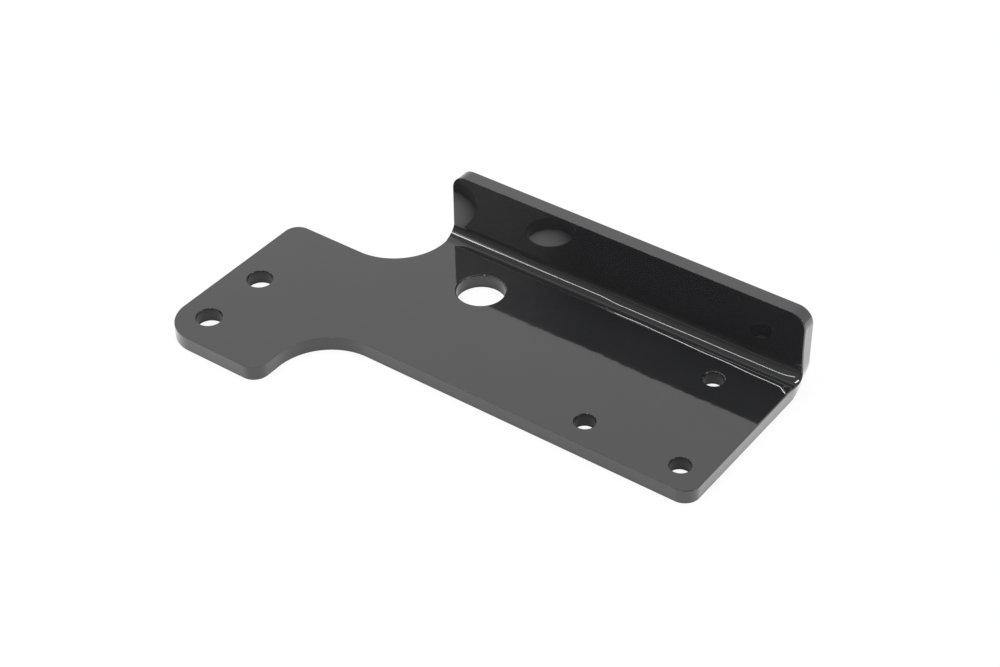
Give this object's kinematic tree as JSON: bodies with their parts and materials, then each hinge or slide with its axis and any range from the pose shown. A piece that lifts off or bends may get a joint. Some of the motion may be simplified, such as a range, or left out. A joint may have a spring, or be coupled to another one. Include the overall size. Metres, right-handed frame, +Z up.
{
  "type": "muffler mounting bracket",
  "caption": "Folded steel plate bracket: a flat stepped plate with mounting holes, a side arm with hollow corners and an upright flange along its back edge.",
  "frame": {"origin": "centre of the large hole, on the underside of the plate", "axes": "+X along the plate away from the arm, +Y towards the flange, +Z up, the way the flange stands"},
  "size_m": [0.22, 0.1197, 0.0357],
  "materials": {
    "painted_steel": "gloss"
  },
  "bodies": {
    "root": {"bracket": "painted_steel"}
  },
  "joints": []
}
